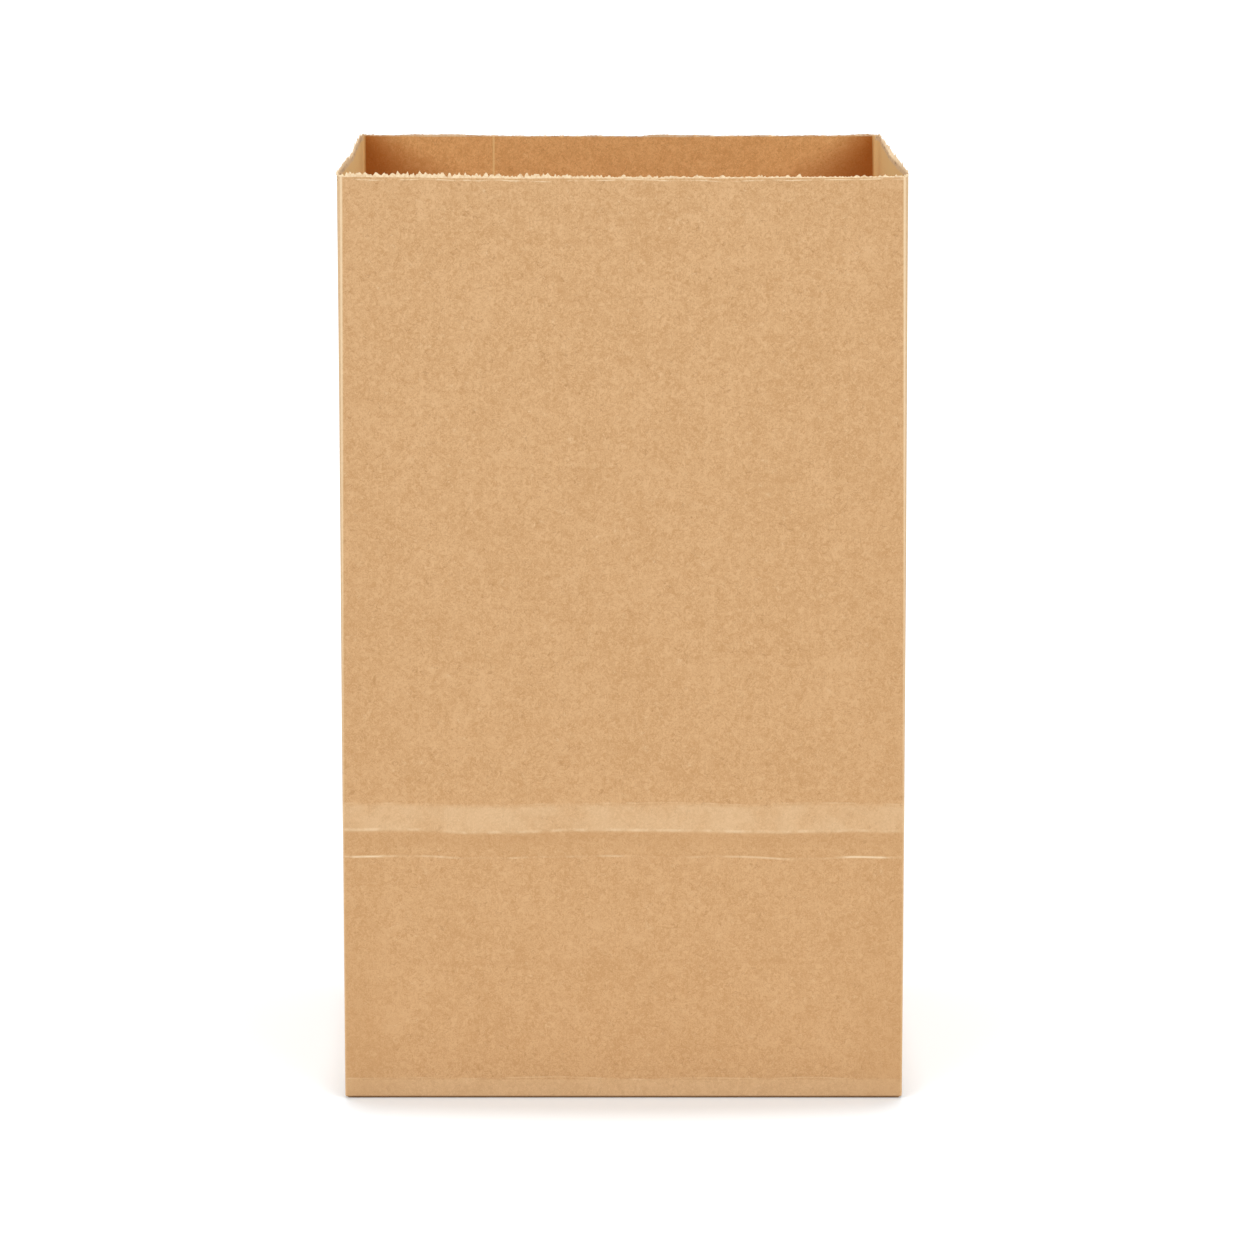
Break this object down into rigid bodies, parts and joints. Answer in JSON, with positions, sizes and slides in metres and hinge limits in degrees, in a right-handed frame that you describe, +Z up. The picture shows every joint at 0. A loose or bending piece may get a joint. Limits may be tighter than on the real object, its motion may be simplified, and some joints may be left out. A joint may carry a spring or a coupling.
{
  "type": "paper lunch bag",
  "caption": "Brown kraft paper lunch bag standing open, with gusseted sides, a serrated rim and a folded flat base.",
  "frame": {"origin": "middle of the base, on the plane that the bag stands on", "axes": "+Z up towards the open rim, -Y out of the front panel, +X to the right of someone facing the front"},
  "size_m": [0.152, 0.1167, 0.253],
  "materials": {
    "kraft_paper": "matt unbleached brown kraft paper with short darker fibres, worn paler along its folds and its torn rim"
  },
  "bodies": {
    "root": {"lunch_bag": "kraft_paper"}
  },
  "joints": []
}
